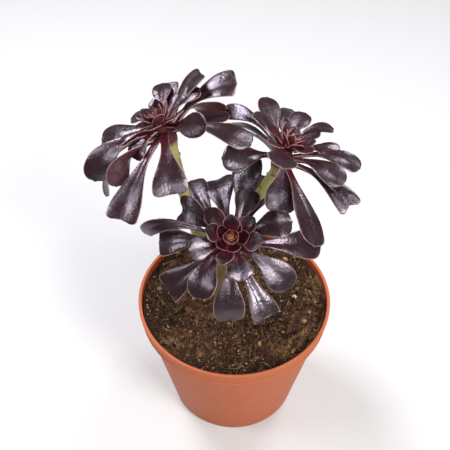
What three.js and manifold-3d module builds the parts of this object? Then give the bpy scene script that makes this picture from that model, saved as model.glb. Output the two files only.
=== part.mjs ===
// Potted aeonium: three leafy rosettes on one branched stem, growing in a 12 cm plastic pot.
// Millimetres, +Z up. The origin is the centre of the pot's base. +X is the right-hand side
// of the plant as its front is faced, and +Y points to its back.

import * as THREE from 'three';
import { mergeVertices } from 'three/addons/utils/BufferGeometryUtils.js';
import Module from 'manifold-3d';

// ---- Driving dimensions -------------------------------------------------------------

const POT_HEIGHT = 92;
const RIM_RADIUS = 60;
const BASE_RADIUS = 42;
const WALL = 1.4;
const RIM_BAND_HEIGHT = 11;
const RIM_BAND_STEP = 2;
// The inner face of the rim narrows a little towards the bottom of its band.
const RIM_TAPER = 0.4;
const LIP_HEIGHT = 2;
const FLOOR_THICKNESS = 2;
const DRAIN_HOLES = 8;
const DRAIN_HOLE_RADIUS = 3.5;
const DRAIN_HOLE_SIDES = 12;
const DRAIN_CIRCLE_RADIUS = 31;

// The soil is almost level, and is banked up a little against the pot's wall.
const SOIL_TOP = 86.5;
const SOIL_CROWN = 0.6;
const SOIL_BANK = 2.5;
const SOIL_BANK_WIDTH = 4;

const GAP = 0.3;
const CUT_GAP = 0.4;
const POT_SEGMENTS = 40;
const BUD_SEGMENTS = 10;
const STEM_SIDES = 8;

const STEM_BURIED_Z = 64;
const TRUNK_RADIUS = 5.2;
const BRANCH_RADIUS = 3.1;
const CROWN_RADIUS = 5.2;
const CROWN_HEIGHT = 6;

// A leaf starts as a narrow stalk and widens to a blunt end. Its end is a plain round where
// it is widest at ROUND_WIDEST_AT of its length, and squarer where it is widest further on.
const STALK_WIDTH_RATIO = 0.24;
const STALK_END = 0.14;
const STALK_SLIMNESS = 1.5;
const ROUND_WIDEST_AT = 0.72;
const ROUND_END = 2.5;
const SQUARENESS = 16;
const LEAF_THICKNESS = 1.8;
// Stations are fractions of the length. A section point holds a share of the half width and
// a share of the half thickness. Hollows are blunter, so that they clear twisted leaves.
const LEAF_STATIONS = [0, 0.2, 0.42, 0.6, 0.78, 0.92, 0.985];
const BUD_LEAF_STATIONS = [0, 0.5, 0.8, 0.98];
const LEAF_SECTION = [[1, 0], [0.5, 1], [-0.5, 1], [-1, 0], [-0.5, -1], [0.5, -1]];
const BUD_LEAF_SECTION = [[1, 0], [0, 1], [-1, 0], [0, -1]];
const HOLLOW_SECTION = [
  [1, 0.5], [0.5, 1], [0, 1], [-0.5, 1], [-1, 0.5],
  [-1, -0.5], [-0.5, -1], [0, -1], [0.5, -1], [1, -0.5],
];

const LEAF_STEPS = 40;
const STEM_STEPS_PER_SPAN = 3;

const RAD = Math.PI / 180;

// ---- Route of the stem --------------------------------------------------------------

const TRUNK_ROUTE = [[-11, 9, STEM_BURIED_Z], [-11, 9, 84], [-10.5, 8, 100], [-10, 6, 116]];

// Each rosette sits on a crown at the end of its branch. The crown leans from the vertical
// toward a compass angle, measured from +X. A leaf row holds, in order: compass angle about
// the crown, height on the crown, elevation at the base, the middle and the tip, sideways
// sweep, twist, cupping (all in degrees, except the height in mm), length and width in mm,
// and the fraction of the length at which the blade is widest.
const ROSETTES = [
  {
    name: 'front',
    base: [-2, -18, 158.5],
    lean: 29,
    toward: 265,
    budLean: 29,
    budToward: 265,
    branch: [[-10, 6, 108], [-9, 1, 122], [-6, -8, 140]],
    leaves: [
      [153, -1, 18, 4, -82, 44, -40, 20, 53, 9, 0.8],
      [174, 2, 5, -16, -32, 5, -4, 20, 38, 17, 0.84],
      [138, 3, 11, -9, -24, 20, -26, 20, 33, 18.5, 0.8],
      [128, 1, 3, -19, -37, -18, 0, 20, 45, 15.5, 0.84],
      [102, 2, 2, -18, -34, 0, -10, 20, 40, 19, 0.84],
      [74, 1, 9, -11, -26, 13, -28, 20, 47, 20, 0.84],
      [58, 2, 4, -18, -41, 8, 0, 20, 45, 17, 0.8],
      [24, 3, 30, 6, -15, -15, 4, 20, 30, 17.5, 0.72],
      [358, 1, 1, -21, -42, 12, 13, 20, 49, 17.5, 0.76],
      [329, 2, 6, -16, -38, -11, 11, 20, 36, 17.5, 0.74],
      [294, 1, 6, -13, -28, 4, -10, 20, 40, 16.5, 0.94],
      [266, 3, 1, -21, -42, 3, -4, 20, 40, 18.5, 0.74],
      [223, 2, 20, 2, -14, 42, 24, 20, 32, 18, 0.72],
      [213, 0, 4, -17, -35, -1, -3, 20, 40, 18, 0.93],
      [66, 5, 25, 12, 0, 11, 8, 20, 24.5, 14.5, 0.8],
      [199, 5, 35, 21, 9, -9, -14, 20, 19.5, 13, 0.7],
      [287, 5, 22, 8, -6, -14, -13, 20, 17.5, 15.5, 0.7],
    ],
    budLeaves: [
      [121, 7, 14, 7, -2, 19, 0, 20, 18, 12, 0.66],
      [42, 7, 25, 18, 10, 0, -5, 20, 13.5, 10.5, 0.7],
      [346, 7, 45, 38, 34, 4, 3, 20, 16.5, 11.5, 0.7],
      [254, 7, 46, 40, 36, 2, 20, 20, 16.5, 10.5, 0.7],
      [165, 7, 49, 42, 38, 0, 5, 20, 14, 11, 0.7],
      [87, 7, 76, 67, 59, 0, 2, 20, 17, 9.5, 0.66],
    ],
  },
  {
    name: 'left',
    base: [-36.5, 14.5, 208],
    lean: 22,
    toward: 150,
    budLean: 34,
    budToward: 170,
    branch: [[-10, 6, 108], [-19.5, 8, 131], [-28, 11, 165]],
    leaves: [
      [86, 3, 22, 18, 20, 0, 8, 20, 31, 15.5, 0.88],
      [88, 6.5, 30, 17, 12, -2, 9, 20, 28.5, 11.5, 0.76],
      [44, 3, 44, 33, 18, -27, 5, 20, 32, 18, 0.82],
      [35, 0, 33, 16, -18, -37, 25, 20, 42, 20, 0.88],
      [24, 7, 38, 21, 9, -8, 24, 20, 21.5, 13, 0.74],
      [38, 2, 42, -30, -60, 15, -45, 20, 40, 15, 0.74],
      [8, 0, 0, -6, -4, -8, 6, 20, 29, 12.5, 0.76],
      [338, 1, 14, -15, -34, -11, -5, 20, 45, 18, 0.8],
      [312, 5, 14, 7, 4, 15, 65, 20, 30, 14, 0.7],
      [271, 2, -17, -35, -55, -10, -28, 20, 35, 19.5, 0.86],
      [237, 1, -13, -25, -38, -9, -32, 20, 50, 18.5, 0.9],
      [198, 2, 24, -12, -65, -4, -70, 20, 45, 16.5, 0.76],
      [214, -1, 20, -16, -62, -5, 100, 20, 36, 15, 0.72],
      [188, -2, 36, -28, -82, 6, 20, 20, 50, 13, 0.76],
      [150, 2, 15, 0, -6, 26, -20, 20, 36, 15, 0.8],
      [190, 5, 17, 6, -5, 0, -20, 20, 21, 12, 0.76],
      [219, 4, 0, -18, -28, -14, -30, 20, 18, 13.5, 0.74],
      [118, 5, 11, -4, -18, 27, -26, 20, 29, 9.5, 0.74],
    ],
    budLeaves: [
      [39, 7, 28, 23, 19, 24, 7, 20, 16, 7, 0.72],
      [203, 7, 23, 18, 11, -17, -3, 20, 10.5, 8, 0.72],
      [150, 7, 34, 24, 16, 0, 0, 20, 12, 9, 0.7],
      [98, 7, 44, 36, 28, 0, 0, 20, 13, 9, 0.7],
      [255, 6, 30, 22, 16, 0, 0, 20, 12, 9, 0.7],
      [318, 6, 32, 24, 18, 0, 0, 20, 12, 9, 0.7],
    ],
  },
  {
    name: 'right',
    base: [24, 7, 198.5],
    lean: 19,
    toward: 30,
    budLean: 33,
    budToward: 16,
    branch: [[-10, 6, 108], [-4, 7, 130], [8, 7, 160]],
    leaves: [
      [116, 5, 23, 13, 6, -24, -7, 20, 36, 14, 0.68],
      [96, 4, 25, 9, -8, -31, -3, 20, 36.5, 11, 0.76],
      [74, 6, 27, 15, 7, -10, 0, 20, 29, 13, 0.68],
      [52, 6, 22, 7, -6, -12, 45, 20, 26, 8, 0.7],
      [58, 3, 30, 4, -18, -20, 28, 20, 44, 8, 0.76],
      [0, 5, 33, 19, 11, -8, 18, 20, 24, 11, 0.78],
      [342, 2, 36, 18, -16, 0, 40, 20, 37, 11, 0.76],
      [313, 1, 34, 14, -24, 4, 35, 20, 35, 14, 0.76],
      [314, -1, 24, -1, -27, 10, 44, 20, 44, 14, 0.9],
      [281, 0, 2, -9, -18, 9, -20, 20, 57, 17.5, 0.82],
      [272, 2, -14, -32, -50, 0, 10, 15, 32, 18, 0.72],
      [249, 5, 25, 15, 11, 27, -2, 20, 31, 16.5, 0.66],
      [212, 1, 10, -1, -4, -5, -70, 20, 33, 15.5, 0.74],
      [136, 2, 36, -3, -41, 0, -60, 20, 44, 11, 0.78],
      [112, -2, 5, -11, -24, 32, 45, 20, 40, 13, 0.78],
      [131, 1, 13, -15, -42, -10, 0, 20, 47, 13, 0.76],
      [148, 5, 46, 32, 22, 13, 5, 20, 20.5, 15, 0.74],
    ],
    budLeaves: [
      [102, 7, 37, 30, 22, -7, -14, 20, 15, 8.2, 0.68],
      [70, 7, 48, 41, 35, -4, -16, 20, 9.5, 8.7, 0.68],
      [352, 7, 40, 34, 28, 7, 11, 20, 12, 10.5, 0.72],
      [305, 7, 32, 27, 22, 0, 26, 20, 16, 8.5, 0.74],
      [152, 7, 36, 28, 20, 0, 0, 20, 13, 9, 0.7],
      [222, 6, 30, 22, 16, 0, 0, 20, 12, 9, 0.7],
    ],
  },
];

// Two close rings of small leaves and a rounded tip fill the middle of each bud.
const BUD_RINGS = [
  { count: 5, height: 0.5, elevation: 50, length: 10.5, width: 8.5, turn: 0 },
  { count: 5, height: 1.8, elevation: 62, length: 7, width: 5.5, turn: 36 },
];
const RING_START_RADIUS = 2.2;
const RING_CUP = 25;
const RING_WIDEST_AT = 0.68;
const BUD_START_RADIUS = 3;
const BUD_BASE_RADIUS = 4.6;
const BUD_TIP_RADIUS = 2.4;
const BUD_TIP_HEIGHT = 6;

// ---- Materials ----------------------------------------------------------------------

const LOOKS = {
  pot: { color: 0xbe7058, roughness: 0.55, metalness: 0 },
  soil: { color: 0x5c4230, roughness: 0.95, metalness: 0 },
  stem: { color: 0x8a8040, roughness: 0.6, metalness: 0 },
  leaf: { color: 0x3a2a2c, roughness: 0.35, metalness: 0 },
  bud: { color: 0x6e2a30, roughness: 0.4, metalness: 0 },
};

// ---- Solids -------------------------------------------------------------------------

const wasm = await Module();
wasm.setup();

// Turns a closed three.js geometry into a solid that can be joined and cut.
function toSolid(geometry) {
  const bare = geometry.clone();
  bare.deleteAttribute('normal');
  bare.deleteAttribute('uv');
  const merged = mergeVertices(bare, 1e-4);
  return new wasm.Manifold(new wasm.Mesh({
    numProp: 3,
    vertProperties: new Float32Array(merged.attributes.position.array),
    triVerts: new Uint32Array(merged.index.array),
  }));
}

function toGeometry(solid) {
  const mesh = solid.getMesh();
  const geometry = new THREE.BufferGeometry();
  geometry.setAttribute('position', new THREE.BufferAttribute(mesh.vertProperties, 3));
  geometry.setIndex(new THREE.BufferAttribute(mesh.triVerts, 1));
  geometry.computeVertexNormals();
  return geometry;
}

// Skins a list of equal rings of points into one closed body with flat ends.
function loft(rings) {
  const sides = rings[0].length;
  const positions = rings.flat().flatMap((point) => [point.x, point.y, point.z]);
  const triangles = [];
  for (let ring = 0; ring < rings.length - 1; ring += 1) {
    for (let side = 0; side < sides; side += 1) {
      const next = (side + 1) % sides;
      const a = ring * sides + side;
      const b = ring * sides + next;
      const c = a + sides;
      const d = b + sides;
      triangles.push(a, b, d, a, d, c);
    }
  }
  const last = (rings.length - 1) * sides;
  for (let side = 1; side < sides - 1; side += 1) {
    triangles.push(0, side + 1, side);
    triangles.push(last, last + side, last + side + 1);
  }
  const geometry = new THREE.BufferGeometry();
  geometry.setAttribute('position', new THREE.Float32BufferAttribute(positions, 3));
  geometry.setIndex(triangles);
  return geometry;
}

// ---- Pot and soil -------------------------------------------------------------------

// Outer radius of the pot's wall below the rim band, at height z.
function wallRadius(z) {
  const bandBottom = POT_HEIGHT - RIM_BAND_HEIGHT;
  const topRadius = RIM_RADIUS - RIM_BAND_STEP - 1.5;
  return BASE_RADIUS + (topRadius - BASE_RADIUS) * (z / bandBottom);
}

function lathe(profile, segments) {
  const points = profile.map(([radius, z]) => new THREE.Vector2(radius, z));
  const geometry = new THREE.LatheGeometry(points, segments);
  return geometry.rotateX(Math.PI / 2);
}

function potSolid() {
  const bandBottom = POT_HEIGHT - RIM_BAND_HEIGHT;
  const innerTop = RIM_RADIUS - RIM_BAND_STEP;
  const shell = toSolid(lathe([
    [0, 0],
    [BASE_RADIUS - 1, 0],
    [wallRadius(1), 1],
    [wallRadius(bandBottom), bandBottom],
    [RIM_RADIUS - RIM_BAND_STEP / 2 - 0.6, bandBottom],
    [RIM_RADIUS - 0.8, POT_HEIGHT - LIP_HEIGHT],
    [RIM_RADIUS, POT_HEIGHT - LIP_HEIGHT],
    [RIM_RADIUS, POT_HEIGHT],
    [innerTop, POT_HEIGHT],
    [innerTop - RIM_TAPER, bandBottom + 2],
    [wallRadius(bandBottom) - WALL, bandBottom - 1],
    [wallRadius(FLOOR_THICKNESS) - WALL, FLOOR_THICKNESS],
    [0, FLOOR_THICKNESS],
  ], POT_SEGMENTS));
  const holes = [];
  for (let i = 0; i < DRAIN_HOLES; i += 1) {
    const angle = (i + 0.5) * (2 * Math.PI / DRAIN_HOLES);
    const depth = 3 * FLOOR_THICKNESS;
    const hole = new THREE.CylinderGeometry(DRAIN_HOLE_RADIUS, DRAIN_HOLE_RADIUS, depth, DRAIN_HOLE_SIDES);
    hole.rotateX(Math.PI / 2);
    hole.translate(DRAIN_CIRCLE_RADIUS * Math.cos(angle), DRAIN_CIRCLE_RADIUS * Math.sin(angle), 0);
    holes.push(toSolid(hole));
  }
  return holes.reduce((pot, hole) => pot.subtract(hole), shell);
}

function soilSolid() {
  const bottom = FLOOR_THICKNESS + GAP;
  const clear = WALL + GAP;
  const bandBottom = POT_HEIGHT - RIM_BAND_HEIGHT;
  const edge = RIM_RADIUS - RIM_BAND_STEP - RIM_TAPER - GAP;
  return toSolid(lathe([
    [0, bottom],
    [wallRadius(bottom) - clear, bottom],
    [wallRadius(bandBottom) - clear, bandBottom - 1],
    [edge, bandBottom + 2 + GAP],
    [edge, SOIL_TOP + SOIL_BANK],
    [edge - SOIL_BANK_WIDTH, SOIL_TOP],
    [0, SOIL_TOP + SOIL_CROWN],
  ], POT_SEGMENTS));
}

// ---- Stem ---------------------------------------------------------------------------

// A round stem along a route, whose radius changes evenly between the given radii.
function tube(route, radii, extra) {
  const curve = new THREE.CatmullRomCurve3(route.map((p) => new THREE.Vector3(...p)));
  const steps = (route.length - 1) * STEM_STEPS_PER_SPAN;
  const frames = curve.computeFrenetFrames(steps, false);
  const rings = [];
  for (let i = 0; i <= steps; i += 1) {
    const centre = curve.getPoint(i / steps);
    const along = (i / steps) * (radii.length - 1);
    const from = Math.min(Math.floor(along), radii.length - 2);
    const radius = radii[from] + (radii[from + 1] - radii[from]) * (along - from) + extra;
    const ring = [];
    for (let side = 0; side < STEM_SIDES; side += 1) {
      const angle = (side / STEM_SIDES) * 2 * Math.PI;
      const point = centre.clone();
      point.addScaledVector(frames.normals[i], radius * Math.cos(angle));
      point.addScaledVector(frames.binormals[i], radius * Math.sin(angle));
      ring.push(point);
    }
    rings.push(ring);
  }
  return toSolid(loft(rings));
}

// Axes whose third one leans from the vertical, toward a compass angle.
function leaningAxes(lean, toward) {
  const axis = new THREE.Vector3(
    Math.sin(lean * RAD) * Math.cos(toward * RAD),
    Math.sin(lean * RAD) * Math.sin(toward * RAD),
    Math.cos(lean * RAD),
  );
  const across = new THREE.Vector3(1, 0, 0).addScaledVector(axis, -axis.x).normalize();
  return new THREE.Matrix4().makeBasis(across, axis.clone().cross(across), axis);
}

function crownFrame(rosette) {
  return leaningAxes(rosette.lean, rosette.toward).setPosition(...rosette.base);
}

// The heart of a rosette sits on top of the crown, and may lean further than the crown does.
function heartFrame(rosette) {
  const top = new THREE.Vector3(0, 0, CROWN_HEIGHT).applyMatrix4(crownFrame(rosette));
  return leaningAxes(rosette.budLean, rosette.budToward).setPosition(top);
}

function branchSolid(rosette, extra) {
  const frame = crownFrame(rosette);
  const onAxis = (height) => new THREE.Vector3(0, 0, height).applyMatrix4(frame).toArray();
  const branch = tube([...rosette.branch, onAxis(-8)], [BRANCH_RADIUS + 0.8, BRANCH_RADIUS], extra);
  const crownRoute = [onAxis(-9), onAxis(-3), onAxis(CROWN_HEIGHT)];
  const crown = tube(crownRoute, [BRANCH_RADIUS, CROWN_RADIUS, CROWN_RADIUS - 0.6], extra);
  return branch.add(crown);
}

function stemSolid(extra) {
  const trunk = tube(TRUNK_ROUTE, [TRUNK_RADIUS + 0.6, TRUNK_RADIUS, TRUNK_RADIUS - 0.8], extra);
  return ROSETTES.reduce((stem, rosette) => stem.add(branchSolid(rosette, extra)), trunk);
}

// ---- Leaves -------------------------------------------------------------------------

function mix(base, middle, tip, s) {
  return base * (1 - s) * (1 - 2 * s) + middle * 4 * s * (1 - s) + tip * s * (2 * s - 1);
}

function clamp01(value) {
  return Math.min(1, Math.max(0, value));
}

// Half of the leaf's width at the fraction s of its length.
function halfWidth(s, width, widestAt) {
  const past = clamp01((s - STALK_END) / (widestAt - STALK_END));
  const rise = (past * past * (3 - 2 * past)) ** STALK_SLIMNESS;
  const body = STALK_WIDTH_RATIO + (1 - STALK_WIDTH_RATIO) * rise;
  const square = ROUND_END + SQUARENESS * Math.max(widestAt - ROUND_WIDEST_AT, 0);
  const end = Math.sqrt(1 - clamp01((s - widestAt) / (1 - widestAt)) ** square);
  return (width / 2) * body * end;
}

// One leaf, skinned from six-sided sections along its bending midline.
function leafSolid(row, startRadius, stations, section, extra) {
  const [compass, height, baseTilt, middleTilt, tipTilt, sweep, twist, cup, length, width, widestAt] = row;
  const steps = LEAF_STEPS;
  const rings = [];
  const centre = new THREE.Vector3(
    (startRadius - extra) * Math.cos(compass * RAD),
    (startRadius - extra) * Math.sin(compass * RAD),
    height,
  );
  const fullLength = length + 2 * extra;
  let walked = 0;
  for (const s of stations) {
    const heading = (at) => {
      const angle = (compass + sweep * at) * RAD;
      const tilt = mix(baseTilt, middleTilt, tipTilt, at) * RAD;
      return new THREE.Vector3(
        Math.cos(angle) * Math.cos(tilt),
        Math.sin(angle) * Math.cos(tilt),
        Math.sin(tilt),
      );
    };
    while (walked < Math.round(s * steps)) {
      centre.addScaledVector(heading((walked + 0.5) / steps), fullLength / steps);
      walked += 1;
    }
    const along = heading(s);
    const angle = (compass + sweep * s) * RAD;
    const flat = new THREE.Vector3(-Math.sin(angle), Math.cos(angle), 0);
    const side = flat.clone().applyAxisAngle(along, twist * s * RAD);
    const normal = along.clone().cross(side);
    const half = halfWidth(s, width, widestAt);
    const spread = half * Math.cos(cup * RAD);
    const lift = half * Math.sin(cup * RAD);
    const thick = LEAF_THICKNESS / 2 + extra;
    rings.push(section.map(([across, up]) => {
      const point = centre.clone();
      const rise = lift * across * across + thick * up;
      point.addScaledVector(side, across * (spread + extra));
      return point.addScaledVector(normal, rise);
    }));
  }
  return toSolid(loft(rings));
}

// The heart of a rosette, with its young leaves grown together at their feet. The outer young
// leaves follow the crown's frame, and the inner rings and the growing tip the heart's own.
function budSolid(rosette, section, extra) {
  const tip = toSolid(lathe([
    [0, GAP],
    [BUD_BASE_RADIUS + extra, GAP],
    [BUD_BASE_RADIUS + extra, BUD_TIP_HEIGHT / 2],
    [BUD_TIP_RADIUS + extra, BUD_TIP_HEIGHT - 1],
    [BUD_TIP_RADIUS * 0.5, BUD_TIP_HEIGHT],
    [0, BUD_TIP_HEIGHT + 0.4],
  ], BUD_SEGMENTS));
  let heart = tip;
  for (const { count, height, elevation, length, width, turn } of BUD_RINGS) {
    for (let i = 0; i < count; i += 1) {
      const tilts = [elevation, elevation, elevation + 10];
      const shape = [0, 0, RING_CUP, length, width, RING_WIDEST_AT];
      const row = [turn + (i * 360) / count, height, ...tilts, ...shape];
      heart = heart.add(leafSolid(row, RING_START_RADIUS, BUD_LEAF_STATIONS, section, extra));
    }
  }
  const outerLeaves = rosette.budLeaves.map(
    (row) => leafSolid(row, BUD_START_RADIUS, BUD_LEAF_STATIONS, section, extra),
  );
  const crown = crownFrame(rosette).elements;
  return outerLeaves.reduce(
    (sum, leaf) => sum.add(leaf.transform(crown)),
    heart.transform(heartFrame(rosette).elements),
  );
}

// Keeps the largest piece of a solid that a cut has split.
function largest(solid) {
  const pieces = solid.decompose();
  return pieces.reduce((best, piece) => (piece.volume() > best.volume() ? piece : best));
}

// ---- Assembly -----------------------------------------------------------------------

const group = new THREE.Group();

function place(name, solid, look) {
  const mesh = new THREE.Mesh(toGeometry(solid), new THREE.MeshStandardMaterial(look));
  mesh.name = name;
  group.add(mesh);
}

const stemHollow = stemSolid(GAP);
place('pot', potSolid(), LOOKS.pot);
place('soil', soilSolid().subtract(stemHollow), LOOKS.soil);
place('branched_stem', stemSolid(0), LOOKS.stem);

// Whatever is already in place, with its clearance: each new leaf is trimmed back from it.
let taken = stemHollow;
for (const rosette of ROSETTES) {
  const bud = budSolid(rosette, BUD_LEAF_SECTION, 0);
  place(`${rosette.name}_bud`, largest(bud.subtract(stemHollow)), LOOKS.bud);
  taken = taken.add(budSolid(rosette, HOLLOW_SECTION, CUT_GAP));
}
for (const rosette of ROSETTES) {
  const frame = crownFrame(rosette).elements;
  const start = CROWN_RADIUS + GAP;
  rosette.leaves.forEach((row, index) => {
    const leaf = leafSolid(row, start, LEAF_STATIONS, LEAF_SECTION, 0).transform(frame);
    const hollow = leafSolid(row, start, LEAF_STATIONS, HOLLOW_SECTION, CUT_GAP).transform(frame);
    const name = `${rosette.name}_leaf_${String(index + 1).padStart(2, '0')}`;
    place(name, largest(leaf.subtract(taken)), LOOKS.leaf);
    taken = taken.add(hollow);
  });
}

export default group;
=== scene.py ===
"""Looks of the potted aeonium: pot, soil, stem and every leaf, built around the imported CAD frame.

Tables and sizes are in millimetres, in the CAD frame. Meshes are made in metres.
"""

from collections import namedtuple
import math

import bmesh
import bpy
import numpy as np
from mathutils import Matrix, Vector


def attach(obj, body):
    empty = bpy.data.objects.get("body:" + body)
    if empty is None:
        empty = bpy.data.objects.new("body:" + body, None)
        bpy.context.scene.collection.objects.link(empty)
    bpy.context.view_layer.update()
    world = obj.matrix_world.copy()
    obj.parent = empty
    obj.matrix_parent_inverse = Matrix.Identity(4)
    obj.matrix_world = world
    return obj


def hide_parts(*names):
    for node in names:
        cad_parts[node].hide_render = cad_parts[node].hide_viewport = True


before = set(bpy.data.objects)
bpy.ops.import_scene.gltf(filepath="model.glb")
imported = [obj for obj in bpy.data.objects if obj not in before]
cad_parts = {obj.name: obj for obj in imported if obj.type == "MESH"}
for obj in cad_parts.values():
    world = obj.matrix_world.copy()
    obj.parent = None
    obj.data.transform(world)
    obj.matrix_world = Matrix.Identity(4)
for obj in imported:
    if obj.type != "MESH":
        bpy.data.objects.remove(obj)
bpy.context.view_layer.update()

MM = 0.001
GOLDEN_ANGLE = math.radians(137.5)

# ---- Pot and soil sizes, in mm ----

POT_HEIGHT = 92.0
RIM_RADIUS = 60.0
BASE_RADIUS = 42.0
WALL = 1.4
RIM_BAND_HEIGHT = 11.0
RIM_BAND_STEP = 2.0
BAND_BOTTOM = POT_HEIGHT - RIM_BAND_HEIGHT
WALL_TOP_RADIUS = RIM_RADIUS - RIM_BAND_STEP - 1.5
# The inner face of the rim narrows a little towards the bottom of its band.
RIM_TAPER = 0.4
LIP_HEIGHT = 2.0
# A low bead runs round the bottom edge of the rim band.
BAND_BEAD = 0.5
BAND_BEAD_HEIGHT = 1.2
FLOOR_THICKNESS = 2.0
DRAIN_HOLES = 8
DRAIN_HOLE_RADIUS = 3.5
DRAIN_CIRCLE_RADIUS = 31.0
POT_SEGMENTS = 180
POT_ROW_SPACING = 6.0

SOIL_TOP = 86.5
SOIL_CROWN = 0.6
SOIL_BANK = 2.8
SOIL_BANK_WIDTH = 4.0
SOIL_GAP = 0.3
SOIL_RADIUS = RIM_RADIUS - RIM_BAND_STEP - RIM_TAPER - SOIL_GAP
SOIL_SEGMENTS = 240
SOIL_TOP_ROWS = 84
SOIL_WALL_LEVELS = [BAND_BOTTOM + 2.3, BAND_BOTTOM - 1, 60, 40, 20, FLOOR_THICKNESS + SOIL_GAP]

# A few coarse lumps and many small ones. detail is how often an icosphere is divided.
Crumbs = namedtuple("Crumbs", "detail count least most")
CRUMB_KINDS = [Crumbs(2, 420, 0.6, 1.8), Crumbs(1, 5200, 0.3, 0.95)]
PALE_CRUMB_SHARE = 0.03
FIBRE_COUNT = 1500
FIBRE_STEPS = 7
FIBRE_SIDES = 4

# ---- Stem routes, in mm ----

TRUNK_ROUTE = [(-11, 9, 64), (-11, 9, 84), (-10.5, 8, 100), (-10, 6, 116)]
TRUNK_RADIUS = 5.2
FORK = (-10, 6, 108)
BRANCH_RADIUS = 3.1
# Heights on a rosette's own axis.
BRANCH_END = -8
CROWN_HEIGHT = 6.0
CROWN_RADIUS = 5.2
# A direction that no branch runs along, which fixes how the tubes are turned.
ROUGHLY_ACROSS = (0.31, 0.95, 0.05)

SCAR_SIDES = 10
SCAR_SPACING = 3.4
SCAR_RISE = 0.32
SCAR_HALF_WIDTH = 1.7
SCAR_HALF_HEIGHT = 0.75
SCAR_DROOP = 0.35

# ---- Rosettes ----

# A leaf row holds, in order: compass angle about the crown, height on the crown in mm,
# elevation at the base, the middle and the tip, sideways sweep and twist, all in degrees,
# then length and width in mm, and how far along the blade is widest. A row that ends with
# one more number is cupped by that many degrees instead of 20.
Leaf = namedtuple(
    "Leaf", "compass height tilt_base tilt_middle tilt_tip sweep twist length width widest_at cup",
    defaults=[20])

FRONT_LEAVES = [
    (153, -1, 18, 4, -82, 44, -40, 53, 9, 0.80),
    (174, 2, 5, -16, -32, 5, -4, 38, 17, 0.84),
    (138, 3, 11, -9, -24, 20, -26, 33, 18.5, 0.80),
    (128, 1, 3, -19, -37, -18, 0, 45, 15.5, 0.84),
    (102, 2, 2, -18, -34, 0, -10, 40, 19, 0.84),
    (74, 1, 9, -11, -26, 13, -28, 47, 20, 0.84),
    (58, 2, 4, -18, -41, 8, 0, 45, 17, 0.80),
    (24, 3, 30, 6, -15, -15, 4, 30, 17.5, 0.72),
    (358, 1, 1, -21, -42, 12, 13, 49, 17.5, 0.76),
    (329, 2, 6, -16, -38, -11, 11, 36, 17.5, 0.74),
    (294, 1, 6, -13, -28, 4, -10, 40, 16.5, 0.94),
    (266, 3, 1, -21, -42, 3, -4, 40, 18.5, 0.74),
    (223, 2, 20, 2, -14, 42, 24, 32, 18, 0.72),
    (213, 0, 4, -17, -35, -1, -3, 40, 18, 0.93),
    (66, 5, 25, 12, 0, 11, 8, 24.5, 14.5, 0.80),
    (199, 5, 35, 21, 9, -9, -14, 19.5, 13, 0.70),
    (287, 5, 22, 8, -6, -14, -13, 17.5, 15.5, 0.70),
]
FRONT_BUD_LEAVES = [
    (121, 7, 14, 7, -2, 19, 0, 18, 12, 0.66),
    (42, 7, 25, 18, 10, 0, -5, 13.5, 10.5, 0.70),
    (346, 7, 45, 38, 34, 4, 3, 16.5, 11.5, 0.70),
    (254, 7, 46, 40, 36, 2, 20, 16.5, 10.5, 0.70),
    (165, 7, 49, 42, 38, 0, 5, 14, 11, 0.70),
    (87, 7, 76, 67, 59, 0, 2, 17, 9.5, 0.66),
]
LEFT_LEAVES = [
    (86, 3, 22, 18, 20, 0, 8, 31, 15.5, 0.88),
    (88, 6.5, 30, 17, 12, -2, 9, 28.5, 11.5, 0.76),
    (44, 3, 44, 33, 18, -27, 5, 32, 18, 0.82),
    (35, 0, 33, 16, -18, -37, 25, 42, 20, 0.88),
    (24, 7, 38, 21, 9, -8, 24, 21.5, 13, 0.74),
    (38, 2, 42, -30, -60, 15, -45, 40, 15, 0.74),
    (8, 0, 0, -6, -4, -8, 6, 29, 12.5, 0.76),
    (338, 1, 14, -15, -34, -11, -5, 45, 18, 0.80),
    (312, 5, 14, 7, 4, 15, 65, 30, 14, 0.70),
    (271, 2, -17, -35, -55, -10, -28, 35, 19.5, 0.86),
    (237, 1, -13, -25, -38, -9, -32, 50, 18.5, 0.90),
    (198, 2, 24, -12, -65, -4, -70, 45, 16.5, 0.76),
    (214, -1, 20, -16, -62, -5, 100, 36, 15, 0.72),
    (188, -2, 36, -28, -82, 6, 20, 50, 13, 0.76),
    (150, 2, 15, 0, -6, 26, -20, 36, 15, 0.80),
    (190, 5, 17, 6, -5, 0, -20, 21, 12, 0.76),
    (219, 4, 0, -18, -28, -14, -30, 18, 13.5, 0.74),
    (118, 5, 11, -4, -18, 27, -26, 29, 9.5, 0.74),
]
LEFT_BUD_LEAVES = [
    (39, 7, 28, 23, 19, 24, 7, 16, 7, 0.72),
    (203, 7, 23, 18, 11, -17, -3, 10.5, 8, 0.72),
    (150, 7, 34, 24, 16, 0, 0, 12, 9, 0.70),
    (98, 7, 44, 36, 28, 0, 0, 13, 9, 0.70),
    (255, 6, 30, 22, 16, 0, 0, 12, 9, 0.70),
    (318, 6, 32, 24, 18, 0, 0, 12, 9, 0.70),
]
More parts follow.
